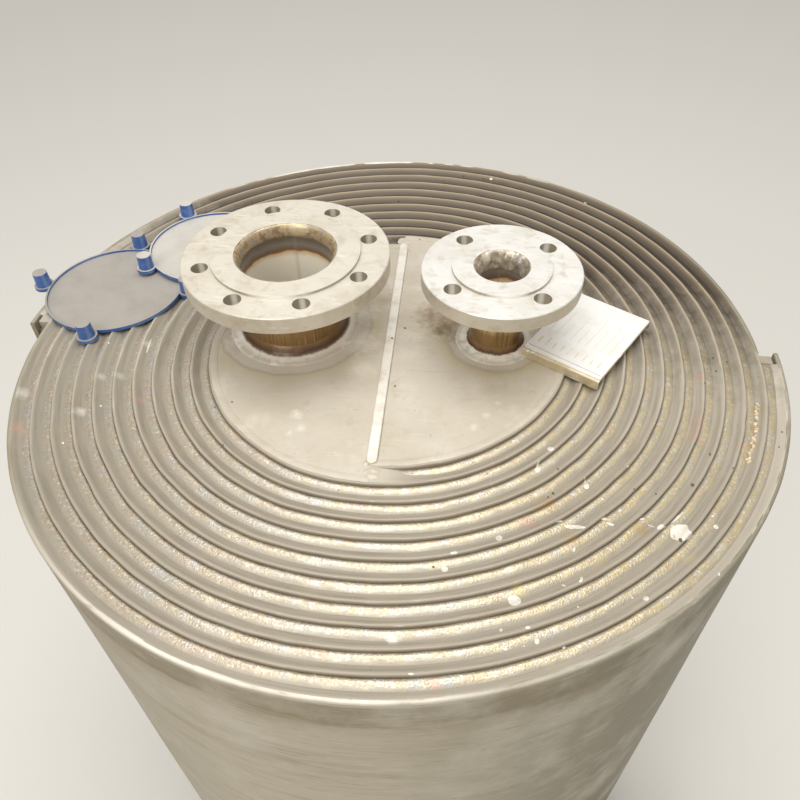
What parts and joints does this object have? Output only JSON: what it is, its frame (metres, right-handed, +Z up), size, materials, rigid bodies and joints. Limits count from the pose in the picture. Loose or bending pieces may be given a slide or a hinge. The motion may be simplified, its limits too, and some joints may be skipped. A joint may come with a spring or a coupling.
{
  "type": "spiral heat exchanger",
  "caption": "Upright welded spiral heat exchanger: a wound double-plate body with recessed channel closures, a divided centre, flanged nozzles on top and low on the shell.",
  "frame": {"origin": "on the winding axis, at the level of the floor the exchanger stands on", "axes": "+Z up along the winding axis and the top nozzles; Y along the divider plate; the larger top nozzle is on the -X side"},
  "size_m": [0.9486, 0.8294, 1.097],
  "materials": {
    "plate": "mill finish, dirty",
    "flange": "turned",
    "pipe": "heat-tinted",
    "weld": "weld bead",
    "nameplate": "satin",
    "cap_plastic": "moulded"
  },
  "bodies": {
    "root": {"divider_plate": "plate", "divider_weld_cap": "weld", "spiral_plate_a": "plate", "spiral_plate_b": "plate", "shell_back": "plate", "shell_front": "plate", "top_strip_a": "plate", "top_strip_b": "plate", "bottom_strip_a": "plate", "bottom_strip_b": "plate", "top_cover_left": "plate", "top_cover_right": "plate", "bottom_cover_left": "plate", "bottom_cover_right": "plate", "left_end_bar": "plate", "right_end_bar": "plate", "left_nozzle_pipe": "pipe", "right_nozzle_pipe": "pipe", "front_side_nozzle_pipe": "pipe", "back_side_nozzle_pipe": "pipe", "left_nozzle_flange": "flange", "right_nozzle_flange": "flange", "front_side_nozzle_flange": "flange", "back_side_nozzle_flange": "flange", "left_nozzle_base_weld": "weld", "right_nozzle_base_weld": "weld", "front_side_nozzle_base_weld": "weld", "back_side_nozzle_base_weld": "weld", "left_nozzle_inner_weld": "weld", "right_nozzle_inner_weld": "weld", "front_side_nozzle_inner_weld": "weld", "back_side_nozzle_inner_weld": "weld", "nameplate_bracket": "plate", "nameplate": "nameplate", "lower_flange_cap": "cap_plastic", "upper_flange_cap": "cap_plastic"}
  },
  "joints": []
}
